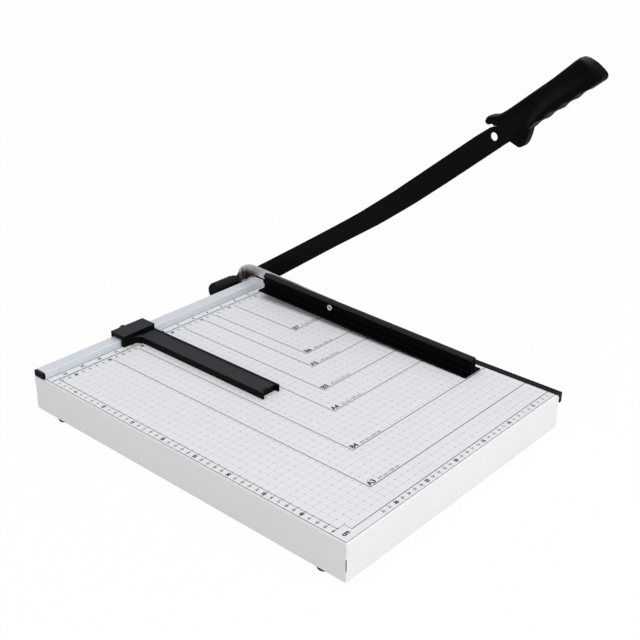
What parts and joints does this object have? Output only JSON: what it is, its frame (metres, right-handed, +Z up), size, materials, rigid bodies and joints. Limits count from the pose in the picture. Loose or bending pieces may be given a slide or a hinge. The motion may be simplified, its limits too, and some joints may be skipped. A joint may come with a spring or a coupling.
{
  "type": "paper cutter",
  "caption": "Lever paper cutter: flat bed on a folded steel tray, rear fence with sliding stop, curved blade arm with moulded handle, rocking paper clamp beside the shear edge.",
  "frame": {"origin": "on the floor, below the middle of the whole machine's box with the arm raised as in the picture", "axes": "+X to the right, towards the blade side; +Y to the back, towards the fence and the pivot; +Z up"},
  "size_m": [0.3948, 0.514, 0.4303],
  "materials": {
    "white_paint": "smooth off-white powder coat on folded sheet steel",
    "bare_sheet": "plain zinc-coated sheet steel",
    "aluminium": "satin drawn aluminium",
    "bright_zinc": "bright zinc-plated steel",
    "blackened_steel": "blackened steel",
    "black_paint": "satin black paint on steel plate",
    "black_anodised": "satin black finish on an aluminium extrusion",
    "black_plastic": "black moulded plastic, slightly satin",
    "black_rubber": "black rubber"
  },
  "bodies": {
    "base": {"base_shell": "white_paint", "stiffener_back": "bare_sheet", "stiffener_front": "bare_sheet", "foot_1": "black_rubber", "foot_2": "black_rubber", "foot_3": "black_rubber", "foot_4": "black_rubber", "foot_screw_1": "bright_zinc", "foot_screw_2": "bright_zinc", "foot_screw_3": "bright_zinc", "foot_screw_4": "bright_zinc", "fence_rail": "aluminium", "fence_end_cap": "black_plastic", "fence_screw_1": "bright_zinc", "fence_screw_2": "bright_zinc", "fence_screw_3": "bright_zinc", "fixed_blade": "blackened_steel", "fixed_blade_screw_1": "bright_zinc", "fixed_blade_screw_2": "bright_zinc", "fixed_blade_screw_3": "bright_zinc", "fixed_blade_screw_4": "bright_zinc", "pivot_bracket": "blackened_steel", "bracket_bolt_1": "bright_zinc", "bracket_nut_1": "bright_zinc", "bracket_bolt_2": "bright_zinc", "bracket_nut_2": "bright_zinc", "pivot_bolt": "bright_zinc", "head_washer": "bright_zinc", "thrust_washer": "bright_zinc", "spacer_tube": "bright_zinc", "lever_washer": "bright_zinc", "pivot_spring": "bright_zinc", "spring_washer": "bright_zinc", "pivot_nut": "bright_zinc", "spring_cap": "black_plastic"},
    "blade": {"blade_arm": "black_paint", "handle_outer": "black_plastic", "handle_inner": "black_plastic", "handle_screw_1": "bright_zinc", "handle_screw_2": "bright_zinc"},
    "clamp_lever": {"clamp_lever": "bright_zinc", "clamp_rivet": "bright_zinc", "rivet_washer": "bright_zinc"},
    "clamp_bar": {"clamp_bar": "black_anodised"},
    "paper_stop": {"paper_stop": "black_plastic"},
    "lock_screw": {"stop_lock_screw": "black_plastic"}
  },
  "joints": [
    {"name": "blade_hinge", "type": "hinge", "parent": "base", "child": "blade", "pos_m": [0.184, 0.24497, 0.0508], "axis": [-1, 0, 0], "range_deg": [-35.5, 24.5]},
    {"name": "clamp_lift", "type": "hinge", "parent": "base", "child": "clamp_lever", "pos_m": [0.1484, 0.24497, 0.0508], "axis": [-1, 0, 0], "range_deg": [-1.89, 10]},
    {"name": "clamp_rock", "type": "hinge", "parent": "clamp_lever", "child": "clamp_bar", "pos_m": [0.1565, 0.06997, 0.06811], "axis": [-1, 0, 0], "range_deg": [-18, 3.5]},
    {"name": "stop_slide", "type": "slide", "parent": "base", "child": "paper_stop", "axis": [1, 0, 0], "range_m": [-0.112, 0.155]},
    {"name": "lock_screw_turn", "type": "hinge", "parent": "paper_stop", "child": "lock_screw", "pos_m": [-0.05645, 0.23497, 0.055], "axis": [0, 1, 0], "range_deg": [0, 360]}
  ],
  "couplings": [
    {"joint": "clamp_rock", "follows": "clamp_lift", "ratio": -1.791}
  ]
}
